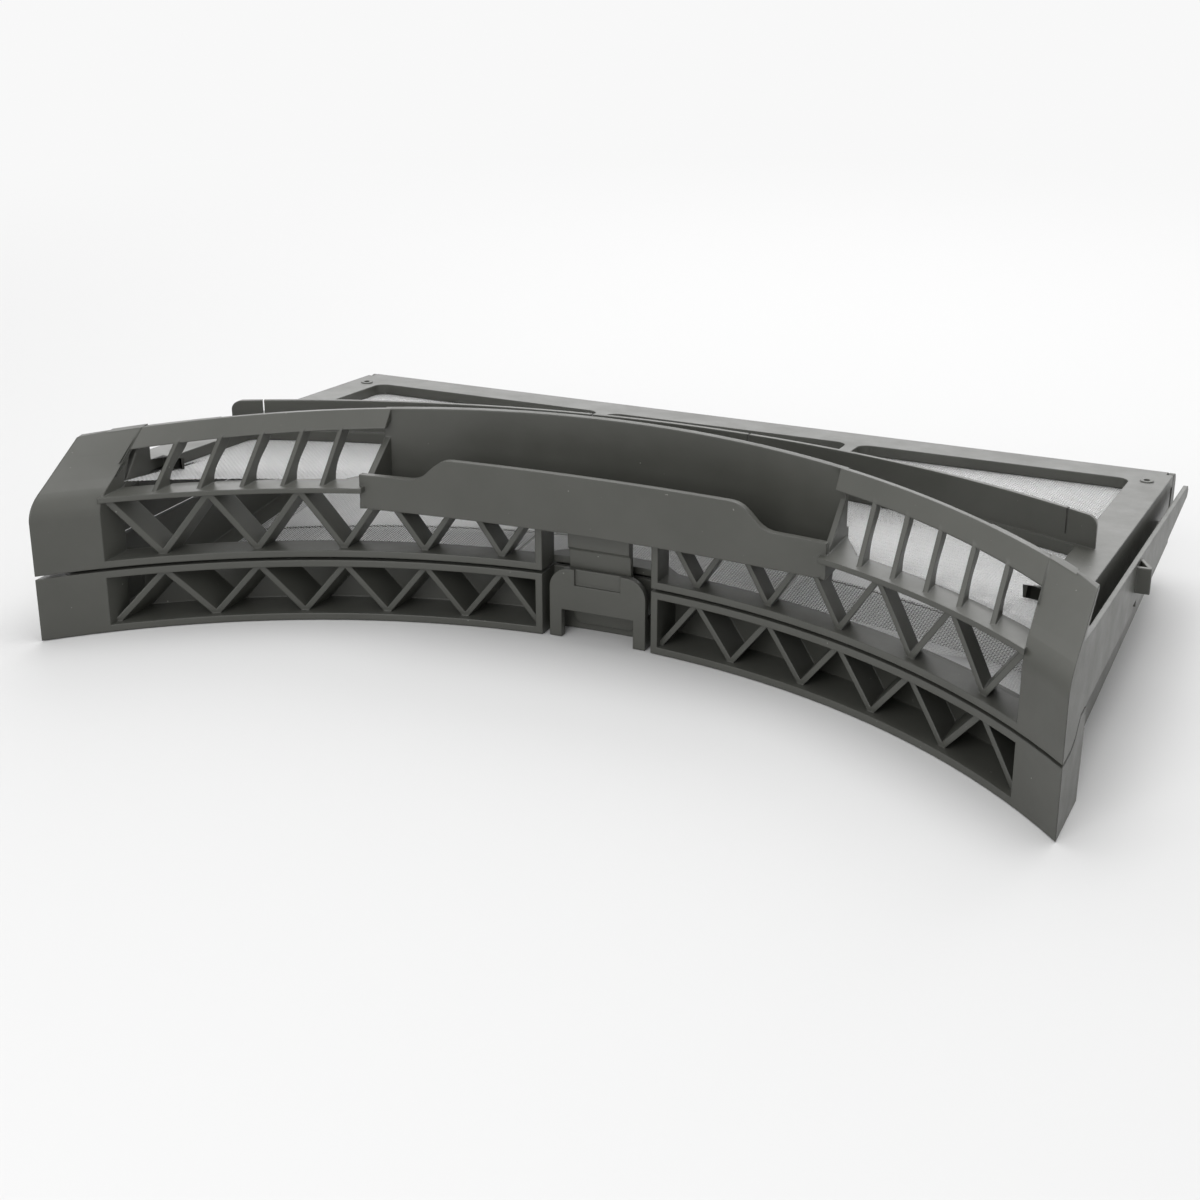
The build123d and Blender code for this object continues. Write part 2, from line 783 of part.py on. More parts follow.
def yoke():
    """Right half of the latch yoke, with its thumb scoop and the rib that carries its leg."""
    front = face_y(0, face_radius)
    with BuildPart() as frame:
        with BuildSketch(Plane.XZ.offset(-front)) as outline:
            with BuildLine():
                Polyline(
                    (0, yoke_bar_bottom),
                    (yoke_half - yoke_leg, yoke_bar_bottom),
                    (yoke_half - yoke_leg, 0),
                    (yoke_half, 0),
                    (yoke_half, yoke_top),
                    (0, yoke_top),
                    close=True,
                )
            make_face()
            fillet(outline.vertices().sort_by(Axis.X)[-2:].sort_by(Axis.Y)[-1], yoke_shoulder)
        extrude(amount=-yoke_thick)
        with BuildSketch(Plane.XZ.offset(-front)):
            with Locations((0, yoke_top - scoop_height / 2)):
                Rectangle(2 * scoop_half, scoop_height)
        extrude(amount=-scoop_depth, mode=Mode.SUBTRACT)
        with BuildSketch():
            rib_start = front + yoke_thick - bite
            rib_end = front + gap_depth + bite
            with Locations((yoke_half - rib / 2, (rib_start + rib_end) / 2)):
                Rectangle(rib, rib_end - rib_start)
        extrude(amount=yoke_bar_bottom)
    return frame.part


def lower_side_wall():
    """Right-hand side wall of the lower half."""
    front = cap_back - wall - bite
    behind_cap = cap_back + parting_gap
    points = [
        (front, 0),
        (behind_cap, 0),
        (hinge_y, lower_mesh_z(hinge_y) - lower_panel_thick),
        (hinge_y, side_parting_z),
        (behind_cap, side_parting_z),
        (behind_cap, lower_height),
        (front, lower_height),
    ]
    with BuildPart() as side:
        add(side_plate(points, inner_side, panel_half))
        add(ring(face_radius, far, 0, half_width, 0, rim_z), mode=Mode.INTERSECT)
    return side.part


def hinge_ear():
    """Right-hand ear on the end of the side wall, bored for the hinge stub."""
    root_z = side_parting_z - ear_root
    with BuildPart() as ear:
        with BuildSketch(Plane.YZ.offset(inner_side)):
            with Locations((hinge_y, (root_z + hinge_z) / 2)):
                Rectangle(2 * roll_radius, hinge_z - root_z)
            with Locations((hinge_y, hinge_z)):
                Circle(roll_radius)
                Circle(stub_radius + hinge_clearance, mode=Mode.SUBTRACT)
        extrude(amount=wall)
    return ear.part


def ear_notch():
    """Room for the right-hand ear in the back corner of the upper half."""
    low = (inner_side - ear_gap, hinge_y - roll_radius - ear_gap)
    high = (panel_half + bite, back_y)
    with BuildPart() as notch:
        with BuildSketch():
            with Locations(((low[0] + high[0]) / 2, (low[1] + high[1]) / 2)):
                Rectangle(high[0] - low[0], high[1] - low[1])
        extrude(amount=2 * rim_z)
    return notch.part


def rear_wall():
    """Right half of the wall under the rolled edge."""
    back = hinge_y + rear_wall_back
    low_z = lower_mesh_z(hinge_y) - lower_panel_thick
    high_z = hinge_z - roll_radius - hinge_gap
    points = [(back - wall, low_z), (back, low_z), (back, high_z), (back - wall, high_z)]
    return side_plate(points, 0, panel_half)


# Upper half, one moulding: the right side is drawn and then mirrored
with BuildPart() as upper_frame:
    add(ring(face_radius, bar_radius, gap_half, opening_end + bite, upper_base, upper_base + flange))
    add(ring(face_radius + gap_depth, bar_radius, 0, gap_side, upper_base, upper_base + flange))
    add(ring(face_radius, face_radius + gap_depth, gap_half, gap_side, upper_base, pocket_floor - wall + bite))
    add(truss(upper_base + flange, shelf_z, True))
    with BuildSketch(Plane.XY.offset(pocket_floor)):
        with Locations((0, face_centre_y)):
            Circle(rim_radius)
            Circle(face_radius, mode=Mode.SUBTRACT)
        with Locations((pocket_half / 2, face_centre_y + far / 2)):
            Rectangle(pocket_half, far, mode=Mode.INTERSECT)
    extrude(amount=rim_z, mode=Mode.SUBTRACT)
    add(ring(face_radius, shelf_radius, pocket_half - wall, opening_end + bite, shelf_z, shelf_z + shelf_thick))
    louvre_pitch = (opening_end - pocket_half) / (louvre_count + 1)
    for number in range(louvre_count):
        add(louvre(pocket_half + (number + 1) * louvre_pitch))
    add(rim_bar())
    add(cap_upright())
    add(end_cap())
    add(pocket())
    add(lip())
    add(tongue())
    add(panel(shelf_radius, slab(panel_back_z, panel_slope, panel_thick), window_corner))
    add(pocket_rail())
    add(upper_seal())
    add(upper_side_wall())
    add(side_flange())
    with BuildSketch(Plane.YZ):
        with Locations((hinge_y, hinge_z)):
            Circle(roll_radius)
    extrude(amount=panel_half)
    add(ear_notch(), mode=Mode.SUBTRACT)
    with BuildSketch(Plane.YZ):
        with Locations((hinge_y, hinge_z)):
            Circle(stub_radius)
    extrude(amount=panel_half)
    ring_boss, ring_hole = dimple()
    add(ring_boss)
    add(ring_hole, mode=Mode.SUBTRACT)
    mirror(about=Plane.YZ)

# Lower half, one moulding, drawn the same way
with BuildPart() as lower_frame:
    add(ring(face_radius, bar_radius, gap_half, opening_end + bite, 0, flange))
    add(ring(face_radius, bar_radius, gap_half, opening_end + bite, lower_height - flange, lower_height))
    add(ring(bar_radius - rib, bar_radius, 0, opening_end + bite, 0, lower_height))
    add(ring(face_radius, bar_radius, gap_half, gap_side, 0, lower_height))
    add(ring(face_radius + gap_depth, face_radius + gap_depth + rib, 0, gap_side, 0, lower_height))
    add(truss(flange, lower_height - flange, False))
    add(lower_cap())
    add(yoke())
    add(panel(bar_radius - bite, slab(lower_mesh_back_z, -lower_slope, lower_panel_thick), 0))
    add(lower_side_wall())
    add(rear_wall())
    add(hinge_ear())
    add(lower_seal())
    mirror(about=Plane.YZ)

upper_frame.part.label = "upper_frame"
lower_frame.part.label = "lower_frame"
os.makedirs("parts", exist_ok=True)
export_step(upper_frame.part, "parts/upper_frame.step")
export_step(lower_frame.part, "parts/lower_frame.step")

# Mesh panes, on the inside of each window of the two panels
mesh_planes = {
    "upper": (panel_back_z - panel_thick, panel_slope),
    "lower": (lower_mesh_back_z + mesh_thick, -lower_slope),
}
for half, (plane_z, plane_slope) in mesh_planes.items():
    for row, is_front in window_rows.items():
        for side, span in window_spans.items():
            pane = mesh_pane(span, is_front, plane_z, plane_slope)
            pane.label = f"{half}_mesh_{row}_{side}"
            export_step(pane, f"parts/{pane.label}.step")
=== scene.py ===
import math

import bmesh
import bpy
import numpy as np
from mathutils import Matrix, Vector
from mathutils.geometry import interpolate_bezier


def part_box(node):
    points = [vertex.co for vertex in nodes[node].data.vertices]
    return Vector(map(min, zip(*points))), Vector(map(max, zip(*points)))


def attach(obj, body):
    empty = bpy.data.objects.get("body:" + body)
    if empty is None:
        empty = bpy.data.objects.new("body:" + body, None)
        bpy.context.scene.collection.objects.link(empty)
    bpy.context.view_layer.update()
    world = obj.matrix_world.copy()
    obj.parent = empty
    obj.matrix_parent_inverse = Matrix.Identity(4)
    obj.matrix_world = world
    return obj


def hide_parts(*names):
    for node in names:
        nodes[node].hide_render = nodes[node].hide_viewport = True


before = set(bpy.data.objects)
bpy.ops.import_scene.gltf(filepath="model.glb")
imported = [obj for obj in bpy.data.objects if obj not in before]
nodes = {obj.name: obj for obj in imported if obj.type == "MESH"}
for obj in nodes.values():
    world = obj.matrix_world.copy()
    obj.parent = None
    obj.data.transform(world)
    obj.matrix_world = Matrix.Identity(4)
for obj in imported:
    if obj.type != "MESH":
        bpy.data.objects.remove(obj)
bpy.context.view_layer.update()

scene = bpy.context.scene

# Lengths are in metres unless a comment says otherwise, angles in radians, and colours are linear.

# Woven mesh: the shift, a share of the pitch, keeps wires clear of the points of a pane's outline
WEAVE_PITCH = 0.0012
WEAVE_SHIFT = 0.013
WIRE_RADIUS = 0.00015
WIRE_WAVE = 0.00013
WIRE_SIDES = 3

# Upper face of a pane: least cosines for a face that looks up and for one in its plane,
# and the digits to which points at one place agree
UP_FACING = 0.5
IN_PLANE = 0.98
JOIN_DIGITS = 6

# Usual range of a noise
NOISE_LOW = 0.3
NOISE_HIGH = 0.7

# Moulded plastic
EDGE_ROUND = 0.0008
EDGE_SAMPLES = 6
GREY_DARK = (0.060, 0.061, 0.053)
GREY_LIGHT = (0.074, 0.075, 0.066)
DUST_GREY = (0.24, 0.24, 0.22, 1.0)
PLASTIC_IOR = 1.5

# White filament
WHITE_LOW = (0.93, 0.935, 0.93)
WHITE_HIGH = (0.98, 0.98, 0.975)
NYLON_IOR = 1.53
NYLON_DEPTH = 0.002

BLACK = (0.0, 0.0, 0.0)
WHITE = (1.0, 1.0, 1.0)

# Curved front of the upper half: radii about the upright axis of its concave face
FACE_CENTRE_Y = -0.329615
LEG_RADIUS = 0.2935
SLOPE_RADIUS = 0.2984
BAR_BACK = 0.303
RIM_RADIUS = 0.315
ZONE_RADIUS = 0.3178
WINDOW_FRONT = 0.3185

# Curved front: places across the width, from the middle outwards
GAP_SIDE = 0.0285
POCKET_HALF = 0.104
RAIL_INNER = 0.178
OPENING_END = 0.1945
CAP_END = 0.215

# Curved front: heights
TRUSS_BOTTOM = 0.029
POCKET_BOTTOM = 0.050
SHELF_TOP = 0.060
SLOPE_HEIGHT = 0.066
RAIL_TOP = 0.0675
RIM_HEIGHT = 0.090
RIM_TILT = math.radians(6.75)

# Louvred ends: the old band is the solid's own, with a margin. A bite is how far a piece sinks into
# the next one. The skin is how far a new face stands off an old one, and the tolerance of a place.
BAND_HEIGHT = 0.0073
OLD_BAND_HEIGHT = 0.0115
LOUVRES = 5
LOUVRE_FOOT = 0.0105
LOUVRE_POINTS = 10
WALL = 0.0025
RIB = 0.002
BITE = 0.0005
SKIN = 0.00006
BAND_STATIONS = 48
CAP_STATIONS = 14
PANE_FRONT_POINTS = 80

# Studio
FLOOR_REACH = 6.0
FLOOR_DROP = 0.0004
FLOOR_GREY = (0.76, 0.76, 0.76, 1.0)
FLOOR_ROUGHNESS = 0.85
FLOOR_SPECULAR = 0.2
BACKDROP_GREY = (0.94, 0.94, 0.94, 1.0)
FADE_START = 0.35
FADE_END = 1.3
AMBIENT = 0.45
LAMP_TARGET = (0.0, 0.0, 0.03)

# Camera at the photograph's place, with the lens and the sensor in millimetres
CAMERA_PLACE = (0.32107, -0.74654, 0.32685)
CAMERA_TURN = math.radians(24.331)
CAMERA_PITCH = math.radians(21.611)
CAMERA_LENS = 59.73
SENSOR_WIDTH = 36.0
CLIP_END = 50.0


def new_material(name):
    """Empty material with one shader wired to its output."""
    mat = bpy.data.materials.new(name)
    mat.use_nodes = True
    tree = mat.node_tree
    tree.nodes.clear()
    out = tree.nodes.new("ShaderNodeOutputMaterial")
    shader = tree.nodes.new("ShaderNodeBsdfPrincipled")
    tree.links.new(shader.outputs["BSDF"], out.inputs["Surface"])
    return mat, tree, shader


def noise(tree, coords, scale, detail, roughness=0.5):
    """Noise over the object's own coordinates."""
    node = tree.nodes.new("ShaderNodeTexNoise")
    node.inputs["Scale"].default_value = scale
    node.inputs["Detail"].default_value = detail
    node.inputs["Roughness"].default_value = roughness
    tree.links.new(coords.outputs["Object"], node.inputs["Vector"])
    return node.outputs["Fac"]


def ramp(tree, factor, low, low_colour, high, high_colour):
    """Blend from one colour to another between two values of the factor."""
    node = tree.nodes.new("ShaderNodeValToRGB")
    stops = ((low, low_colour), (high, high_colour))
    for element, (place, colour) in zip(node.color_ramp.elements, stops):
        element.position = place
        element.color = colour + (1.0,)
    tree.links.new(factor, node.inputs["Fac"])
    return node.outputs["Color"]


def span(tree, factor, low, high):
    """Map the usual range of a noise to a range of values."""
    node = tree.nodes.new("ShaderNodeMapRange")
    node.inputs["From Min"].default_value = NOISE_LOW
    node.inputs["From Max"].default_value = NOISE_HIGH
    node.inputs["To Min"].default_value = low
    node.inputs["To Max"].default_value = high
    tree.links.new(factor, node.inputs["Value"])
    return node.outputs["Result"]


def bump(tree, height, strength, distance, below=None):
    """Relief of the surface, laid over the normal from below if there is one."""
    node = tree.nodes.new("ShaderNodeBump")
    node.inputs["Strength"].default_value = strength
    node.inputs["Distance"].default_value = distance
    tree.links.new(height, node.inputs["Height"])
    if below is not None:
        tree.links.new(below, node.inputs["Normal"])
    return node.outputs["Normal"]


def plastic():
    """Dark warm grey moulded plastic: fine grain, faint flow clouds, a little dust and softened edges."""
    mat, tree, shader = new_material("moulded_plastic")
    coords = tree.nodes.new("ShaderNodeTexCoord")
    cloud = noise(tree, coords, scale=22.0, detail=5.0, roughness=0.6)
    speck = noise(tree, coords, scale=620.0, detail=1.0, roughness=0.4)
    smear = noise(tree, coords, scale=60.0, detail=6.0, roughness=0.65)
    grain = noise(tree, coords, scale=2600.0, detail=2.0, roughness=0.55)
    wave = noise(tree, coords, scale=90.0, detail=2.0, roughness=0.4)
    mix = tree.nodes.new("ShaderNodeMix")
    mix.data_type = "RGBA"
    dust = ramp(tree, speck, low=0.80, low_colour=BLACK, high=0.84, high_colour=WHITE)
    tone = ramp(tree, cloud, low=0.30, low_colour=GREY_DARK, high=0.70, high_colour=GREY_LIGHT)
    tree.links.new(dust, mix.inputs["Factor"])
    tree.links.new(tone, mix.inputs["A"])
    mix.inputs["B"].default_value = DUST_GREY
    tree.links.new(mix.outputs["Result"], shader.inputs["Base Color"])
    tree.links.new(span(tree, smear, low=0.36, high=0.48), shader.inputs["Roughness"])
    edge = tree.nodes.new("ShaderNodeBevel")
    edge.samples = EDGE_SAMPLES
    edge.inputs["Radius"].default_value = EDGE_ROUND
    soft = bump(tree, wave, strength=0.12, distance=0.0006, below=edge.outputs["Normal"])
    fine = bump(tree, grain, strength=0.16, distance=0.00006, below=soft)
    tree.links.new(fine, shader.inputs["Normal"])
    shader.inputs["IOR"].default_value = PLASTIC_IOR
    return mat


def monofilament():
    """White nylon monofilament, slightly uneven in tone and gloss, that lets light through."""
    mat, tree, shader = new_material("white_monofilament")
    coords = tree.nodes.new("ShaderNodeTexCoord")
    cloud = noise(tree, coords, scale=30.0, detail=4.0, roughness=0.6)
    streak = noise(tree, coords, scale=1500.0, detail=2.0)
    tone = ramp(tree, cloud, low=0.28, low_colour=WHITE_LOW, high=0.72, high_colour=WHITE_HIGH)
    tree.links.new(tone, shader.inputs["Base Color"])
    tree.links.new(span(tree, streak, low=0.28, high=0.46), shader.inputs["Roughness"])
    tree.links.new(bump(tree, streak, strength=0.1, distance=0.00004), shader.inputs["Normal"])
    shader.inputs["IOR"].default_value = NYLON_IOR
    shader.inputs["Subsurface Weight"].default_value = 1.0
    shader.inputs["Subsurface Scale"].default_value = NYLON_DEPTH
    shader.inputs["Subsurface Radius"].default_value = WHITE
    return mat


PLASTIC = plastic()
FILAMENT = monofilament()


def finish_frame(node):
    """Moulded half: its own form in moulded plastic."""
    node.data.materials.clear()
    node.data.materials.append(PLASTIC)


def radius_of(x, y):
    """Distance from the upright axis of the concave face."""
    return math.hypot(x, y - FACE_CENTRE_Y)


def arc_y(radius, x):
    """Depth position of the arc of this radius about the face's axis."""
    return FACE_CENTRE_Y + math.sqrt(radius ** 2 - x ** 2)


def rim_height(y):
    """Height of the tilted plane of the rim."""
    return RIM_HEIGHT + (y - FACE_CENTRE_Y - RIM_RADIUS) * math.tan(RIM_TILT)


def slope_line(x):
    """Foot and head of the slope that leans back from above the bend to the rim."""
    foot = Vector((x, arc_y(SLOPE_RADIUS, x), SLOPE_HEIGHT))
    head = Vector((x, arc_y(RIM_RADIUS, x), 0.0))
    head.z = rim_height(head.y) + SKIN
    return foot, head


def band_profile(x):
    """Section of the band under the rim, as points from the rim's front edge round."""
    foot, head = slope_line(x)
    low = head.lerp(foot, BAND_HEIGHT / (head.z - foot.z))
    back = Vector((0.0, WALL, 0.0))
    drop = Vector((0.0, 0.0, WALL))
    return [head, head + back, head + back - drop, low + back, low]


def add_strip(bm, rows, side):
    """Quads between neighbouring rows of points, on the right or mirrored to the left."""
    rings = [[bm.verts.new((side * p.x, p.y, p.z)) for p in row] for row in rows]
    for a, b in zip(rings, rings[1:]):
        for k in range(len(a) - 1):
            bm.faces.new((a[k], a[k + 1], b[k + 1], b[k]))
    return rings


def add_band(bm, side):
    """Band over the louvres, from the pocket to the end cap."""
    places = np.linspace(POCKET_HALF - WALL - BITE, OPENING_END, BAND_STATIONS)
    sections = [band_profile(x) for x in places]
    rings = add_strip(bm, [section + section[:1] for section in sections], side)
    bm.faces.new(rings[0][:-1])
    bm.faces.new(rings[-1][:-1])


def add_cap_slope(bm, side):
    """Slope of the end cap in one flush face with the band, with a wall to the louvres."""
    rows = []
    for x in np.linspace(OPENING_END - SKIN, CAP_END, CAP_STATIONS):
        foot, head = slope_line(x)
        rows.append([foot, foot.lerp(head, 0.5), head])
    add_strip(bm, rows, side)
    deep = Vector((0.0, WALL, 0.0))
    add_strip(bm, [rows[0], [point + deep for point in rows[0]]], side)
    under = Vector((0.0, 0.0, -BITE))
    add_strip(bm, [rows[-1], [point + under for point in rows[-1]]], side)


def add_louvre(bm, x, side):
    """Upright fin from the shelf to the band, with a flowing back edge."""
    head, back, under, _, low = band_profile(x)
    foot = Vector((0.0, arc_y(LEG_RADIUS, x), SHELF_TOP - BITE))
    foot_back = Vector((0.0, foot.y + LOUVRE_FOOT, foot.z))
    top = Vector((0.0, (head.y + back.y) / 2, under.z))
    middle_z = (top.z + foot.z) / 2
    pull = [top, Vector((0.0, top.y, middle_z)), Vector((0.0, foot_back.y, middle_z)), foot_back]
    path = [foot, Vector((0.0, low.y + BITE, low.z + BITE)), top]
    path += interpolate_bezier(*pull, LOUVRE_POINTS)[1:]
    faces = []
    for offset in (-RIB / 2, RIB / 2):
        faces.append([bm.verts.new((side * (x + offset), p.y, p.z)) for p in path])
    for k in range(len(path)):
        after = (k + 1) % len(path)
        bm.faces.new((faces[0][k], faces[0][after], faces[1][after], faces[1][k]))
    bm.faces.new(faces[0])
    bm.faces.new(faces[1])


def old_louvred_ends(bm):
    """Faces of the solid's own louvres and band, which are drawn anew."""
    old = []
    for face in bm.faces:
        spots = [vert.co for vert in face.verts]
        inner = min(abs(p.x) for p in spots)
        in_zone = max(radius_of(p.x, p.y) for p in spots) < ZONE_RADIUS
        if not in_zone or not POCKET_HALF - WALL - BITE < inner < OPENING_END - BITE:
            continue
        middle = face.calc_center_median()
        in_opening = abs(middle.x) > POCKET_HALF + SKIN and middle.z > SHELF_TOP + SKIN
        by_pocket = max(abs(p.x) for p in spots) < POCKET_HALF + 2 * WALL
        in_old_band = min(p.z for p in spots) > rim_height(middle.y) - OLD_BAND_HEIGHT
        if in_opening or by_pocket and in_old_band:
            old.append(face)
    return old


def slim_grille(bm):
    """Bring the backs of bars, legs and shelf forward, and the front ends of the side rails to the caps."""
    for vert in bm.verts:
        x, y, z = vert.co
        radius = radius_of(x, y)
        across = GAP_SIDE < abs(x) < OPENING_END + BITE + SKIN
        upright = TRUSS_BOTTOM - SKIN < z < SHELF_TOP + SKIN
        under_pocket = abs(x) < POCKET_HALF + SKIN and z > POCKET_BOTTOM - SKIN
        if across and upright and radius < WINDOW_FRONT and not under_pocket:
            vert.co.y = min(y, arc_y(BAR_BACK, x))
        at_window = ZONE_RADIUS < radius < WINDOW_FRONT
        on_rail = RAIL_INNER < abs(x) < OPENING_END and SHELF_TOP + SKIN < z < RAIL_TOP
        if at_window and on_rail:
            vert.co.x = math.copysign(OPENING_END, x)


def upper_moulding(node):
    """Upper half with its louvred ends drawn anew: the band under the rim runs flush into the end caps."""
    bm = bmesh.new()
    bm.from_mesh(node.data)
    bmesh.ops.delete(bm, geom=old_louvred_ends(bm), context="FACES")
    slim_grille(bm)
    kept = set(bm.faces)
    pitch = (OPENING_END - POCKET_HALF) / (LOUVRES + 1)
    for side in (-1, 1):
        add_band(bm, side)
        add_cap_slope(bm, side)
        for number in range(LOUVRES):
            add_louvre(bm, POCKET_HALF + (number + 1) * pitch, side)
    bmesh.ops.recalc_face_normals(bm, faces=[face for face in bm.faces if face not in kept])
    mesh = bpy.data.meshes.new("upper_moulding")
    bm.to_mesh(mesh)
    bm.free()
    mesh.materials.append(PLASTIC)
    piece = bpy.data.objects.new("upper_moulding", mesh)
    scene.collection.objects.link(piece)
    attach(piece, "upper_half")
    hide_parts("upper_frame")


def upward_of(node):
    """Normal of the pane's upper face."""
    faces = [face for face in node.data.polygons if face.normal.z > UP_FACING]
    return max(faces, key=lambda face: face.area).normal.normalized()


def outline_of(node, up):
    """Outer edge of the pane's upper face, as a closed run of points."""
    mesh = node.data
    keys = {}
    index = [keys.setdefault(tuple(np.round(vert.co, JOIN_DIGITS)), len(keys)) for vert in mesh.vertices]
    uses = {}
    for face in mesh.polygons:
        if face.normal.dot(up) < IN_PLANE:
            continue
        loop = [index[i] for i in face.vertices]
        for a, b in zip(loop, loop[1:] + loop[:1]):
            edge = (min(a, b), max(a, b))
            uses[edge] = uses.get(edge, 0) + 1
    links = {}
    for (a, b), count in uses.items():
        if count == 1:
            links.setdefault(a, []).append(b)
            links.setdefault(b, []).append(a)
    spots = np.array(list(keys))
    run = [min(links, key=lambda i: spots[i][0])]
    run.append(links[run[0]][0])
    while run[-1] != run[0]:
        run.append(next(i for i in links[run[-1]] if i != run[-2]))
    return spots[run]


def reach_louvres(edge, up):
    """The pane's outline with its front edge brought forward to the shelf behind the louvres."""
    run = [tuple(spot) for spot in edge[:-1]]
    front = [radius_of(x, y) < WINDOW_FRONT for x, y, _ in run]
    turn = next(k for k in range(len(run)) if front[k] and not front[k - 1])
    run = run[turn:] + run[:turn]
    arc = run[:sum(front)]
    rest = run[sum(front):]
    start_x, start_y, start_z = arc[0]
    pane_front = radius_of(start_x, start_y)
    ends = []
    for x in (start_x, arc[-1][0]):
        ends.append(x if abs(x) < POCKET_HALF else math.copysign(OPENING_END, x))
    points = []
    for x in np.linspace(*ends, PANE_FRONT_POINTS):
        y = arc_y(BAR_BACK if abs(x) > POCKET_HALF else pane_front, x)
        points.append((x, y, start_z - (y - start_y) * up.y / up.z))
    return np.array(points + rest + points[:1])


def wires_over(flat, turn):
    """Number, place, start and end of each wire along one axis of the pane, clipped to its outline."""
    s0, t0 = flat[:-1, turn], flat[:-1, 1 - turn]
    s1, t1 = flat[1:, turn], flat[1:, 1 - turn]
    low = math.ceil(t0.min() / WEAVE_PITCH)
    high = math.floor(t0.max() / WEAVE_PITCH)
    for line in range(low, high + 1):
        t = (line + WEAVE_SHIFT) * WEAVE_PITCH
        hit = (t0 > t) != (t1 > t)
        cuts = np.sort(s0[hit] + (t - t0[hit]) / (t1[hit] - t0[hit]) * (s1[hit] - s0[hit]))
        for start, end in zip(cuts[0::2], cuts[1::2]):
            if end - start >= WEAVE_PITCH:
                yield line, t, start, end


def wire_wave(line, turn, start, end):
    """Places along one wire and how far it rises or dips at the wires that it crosses."""
    crossed = np.arange(math.ceil(start / WEAVE_PITCH), math.floor(end / WEAVE_PITCH) + 1)
    places = (crossed + WEAVE_SHIFT) * WEAVE_PITCH
    lift = WIRE_WAVE * np.where((crossed + line + turn) % 2 == 0, 1.0, -1.0)
    keep = (places > start) & (places < end)
    places = np.concatenate([[start], places[keep], [end]])
    lift = np.concatenate([[0.0], lift[keep], [0.0]])
    return places, lift


def wire_quads(size, first, turn):
    """Faces round one wire, whose lines of points start at the given vertex."""
    hop = np.arange(size - 1)
    quads = []
    for k in range(WIRE_SIDES):
        a = first + k * size + hop
        b = first + (k + 1) % WIRE_SIDES * size + hop
        quads.append(np.stack([a, b, b + 1, a + 1] if turn == 0 else [a, a + 1, b + 1, b], axis=1))
    return quads


def weave(name, body):
    """Plain weave of round wires over one pane, clipped to the pane's outline."""
    node = nodes[name]
    up = upward_of(node)
    edge = outline_of(node, up)
    if name.startswith("upper_mesh_front"):
        edge = reach_louvres(edge, up)
    base = (np.array(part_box(name)[0]) + np.array(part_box(name)[1])) / 2
    along = Vector((1, 0, 0))
    across = np.array(up.cross(along).normalized())
    along = np.array(along)
    flat = np.stack([(edge - base) @ along, (edge - base) @ across], axis=1)
    angles = [math.pi / 2 + 2 * math.pi * k / WIRE_SIDES for k in range(WIRE_SIDES)]
    verts = []
    quads = []
    count = 0
    for turn, (run, step) in enumerate(((along, across), (across, along))):
        for line, t, start, end in wires_over(flat, turn):
            places, lift = wire_wave(line, turn, start, end)
            for angle in angles:
                offset = step * math.cos(angle) * WIRE_RADIUS
                rise = lift + math.sin(angle) * WIRE_RADIUS
                axis = base + np.outer(places, run) + step * t
                verts.append(axis + offset + np.outer(rise, np.array(up)))
            quads += wire_quads(len(places), count, turn)
            count += WIRE_SIDES * len(places)
    verts = np.concatenate(verts)
    quads = np.concatenate(quads)
    mesh = bpy.data.meshes.new("woven_" + name)
    mesh.vertices.add(len(verts))
    mesh.vertices.foreach_set("co", verts.astype(np.float32).ravel())
    mesh.loops.add(len(quads) * 4)
    mesh.loops.foreach_set("vertex_index", quads.astype(np.int32).ravel())
    mesh.polygons.add(len(quads))
    mesh.polygons.foreach_set("loop_start", np.arange(0, len(quads) * 4, 4, dtype=np.int32))
    mesh.polygons.foreach_set("use_smooth", np.ones(len(quads), dtype=bool))
    mesh.update(calc_edges=True)
    mesh.materials.append(FILAMENT)
    piece = bpy.data.objects.new("woven_" + name, mesh)
    scene.collection.objects.link(piece)
    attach(piece, body)
    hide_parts(name)


def add_floor():
    """Pale floor that runs out into the backdrop's white."""
    mesh = bpy.data.meshes.new("floor")
    corners = [(-1, -1), (1, -1), (1, 1), (-1, 1)]
    mesh.from_pydata([(x * FLOOR_REACH, y * FLOOR_REACH, 0) for x, y in corners], [], [(0, 1, 2, 3)])
    floor = bpy.data.objects.new("floor", mesh)
    floor.location.z = -FLOOR_DROP
    scene.collection.objects.link(floor)
    mat, tree, shader = new_material("pale_floor")
    shader.inputs["Base Color"].default_value = FLOOR_GREY
    shader.inputs["Roughness"].default_value = FLOOR_ROUGHNESS
    shader.inputs["Specular IOR Level"].default_value = FLOOR_SPECULAR
    coords = tree.nodes.new("ShaderNodeTexCoord")
    distance = tree.nodes.new("ShaderNodeVectorMath")
    distance.operation = "LENGTH"
    tree.links.new(coords.outputs["Object"], distance.inputs[0])
    fade = tree.nodes.new("ShaderNodeMapRange")
    fade.interpolation_type = "SMOOTHSTEP"
    fade.inputs["From Min"].default_value = FADE_START
    fade.inputs["From Max"].default_value = FADE_END
    tree.links.new(distance.outputs["Value"], fade.inputs["Value"])
    glow = tree.nodes.new("ShaderNodeEmission")
    glow.inputs["Color"].default_value = BACKDROP_GREY
    blend = tree.nodes.new("ShaderNodeMixShader")
    tree.links.new(fade.outputs["Result"], blend.inputs["Fac"])
    tree.links.new(shader.outputs["BSDF"], blend.inputs[1])
    tree.links.new(glow.outputs["Emission"], blend.inputs[2])
    tree.links.new(blend.outputs["Shader"], tree.nodes["Material Output"].inputs["Surface"])
    mesh.materials.append(mat)


def larger(tree, first, second):
    """The larger of two values."""
    node = tree.nodes.new("ShaderNodeMath")
    node.operation = "MAXIMUM"
    tree.links.new(first, node.inputs[0])
    tree.links.new(second, node.inputs[1])
    return node.outputs["Value"]


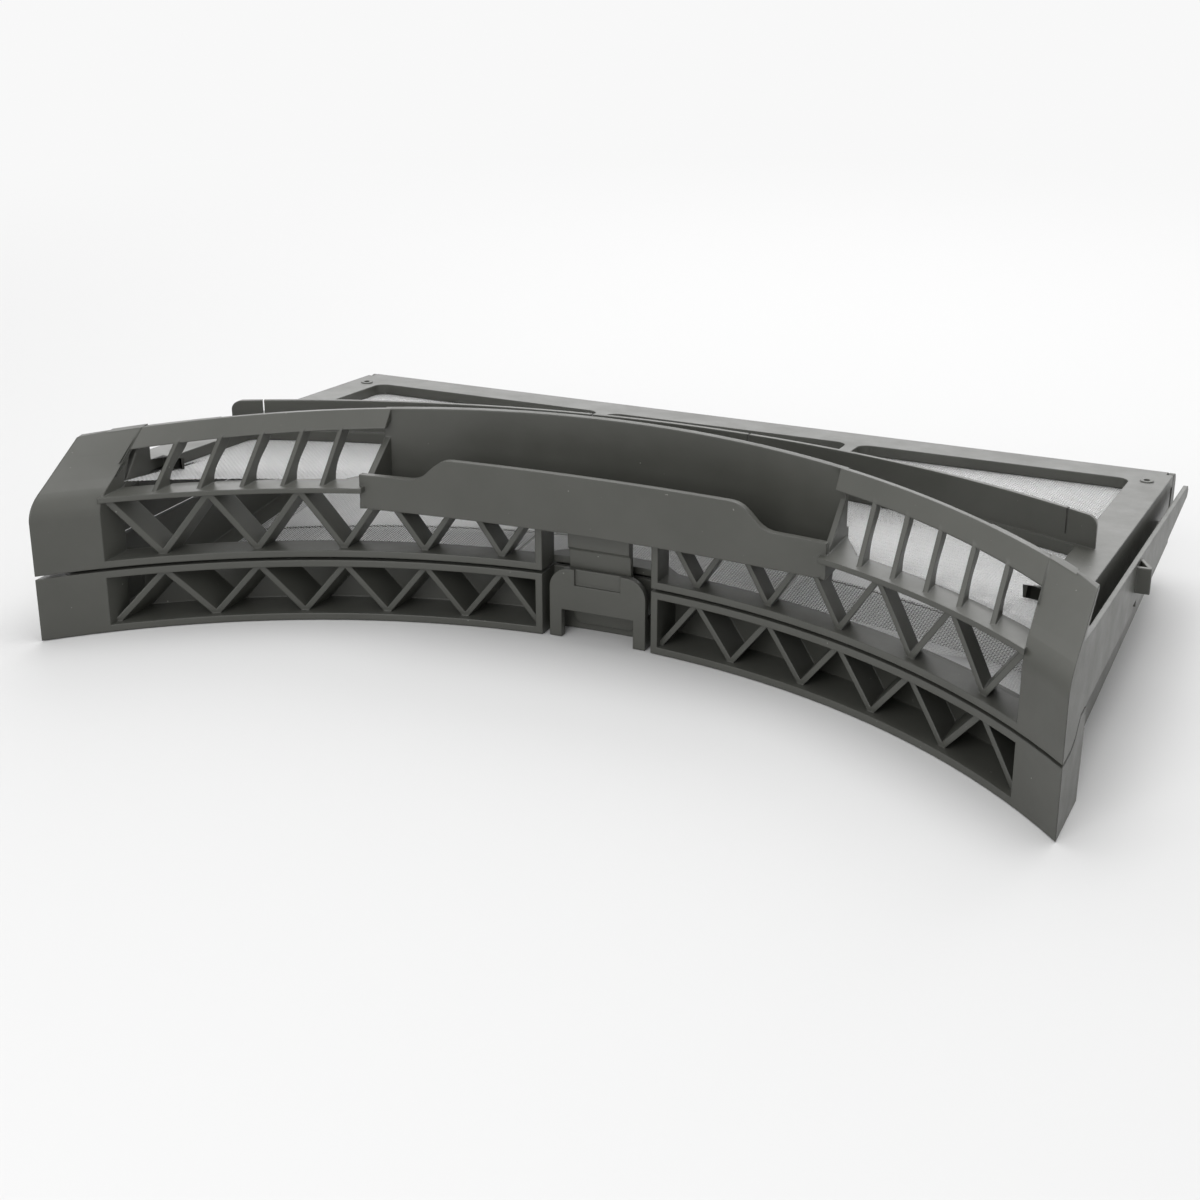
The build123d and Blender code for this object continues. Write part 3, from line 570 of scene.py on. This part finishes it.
def add_world():
    """White surroundings: full white where they are seen, reflected or looked through, weaker as light."""
    world = bpy.data.worlds.new("studio")
    scene.world = world
    world.use_nodes = True
    tree = world.node_tree
    tree.nodes.clear()
    out = tree.nodes.new("ShaderNodeOutputWorld")
    back = tree.nodes.new("ShaderNodeBackground")
    path = tree.nodes.new("ShaderNodeLightPath")
    seen = larger(tree, path.outputs["Is Camera Ray"], path.outputs["Is Glossy Ray"])
    seen = larger(tree, seen, path.outputs["Is Transmission Ray"])
    level = tree.nodes.new("ShaderNodeMapRange")
    level.inputs["To Min"].default_value = AMBIENT
    level.inputs["To Max"].default_value = 1.0
    tree.links.new(seen, level.inputs["Value"])
    tree.links.new(level.outputs["Result"], back.inputs["Strength"])
    back.inputs["Color"].default_value = WHITE + (1.0,)
    tree.links.new(back.outputs["Background"], out.inputs["Surface"])


def add_lamp(name, place, size, power):
    """Soft rectangular lamp that faces the part."""
    data = bpy.data.lights.new(name, "AREA")
    data.shape = "RECTANGLE"
    data.size, data.size_y = size
    data.energy = power
    lamp = bpy.data.objects.new(name, data)
    scene.collection.objects.link(lamp)
    lamp.location = place
    lamp.rotation_mode = "QUATERNION"
    lamp.rotation_quaternion = (Vector(LAMP_TARGET) - Vector(place)).to_track_quat("-Z", "Y")


def add_camera():
    """Camera that looks down and to the left, as in the photograph."""
    data = bpy.data.cameras.new("camera")
    data.sensor_width = SENSOR_WIDTH
    data.lens = CAMERA_LENS
    data.clip_end = CLIP_END
    camera = bpy.data.objects.new("camera", data)
    scene.collection.objects.link(camera)
    turn = Matrix.Rotation(CAMERA_TURN, 4, "Z")
    tilt = Matrix.Rotation(math.pi / 2 - CAMERA_PITCH, 4, "X")
    camera.matrix_world = Matrix.Translation(CAMERA_PLACE) @ turn @ tilt
    scene.camera = camera


# Pieces of the part, then the stage around it
for name, node in nodes.items():
    if "_mesh_" in name:
        weave(name, "upper_half" if name.startswith("upper") else "lower_half")
    elif name == "upper_frame":
        upper_moulding(node)
    else:
        finish_frame(node)

add_floor()
add_world()
add_lamp("back_light", place=(-0.35, 1.55, 0.95), size=(2.6, 1.3), power=17.0)
add_lamp("top_light", place=(0.1, 0.25, 1.5), size=(1.2, 1.2), power=12.0)
add_lamp("front_light", place=(0.0, -1.4, 0.75), size=(1.0, 1.0), power=10.5)
add_camera()
scene.view_settings.view_transform = "Standard"
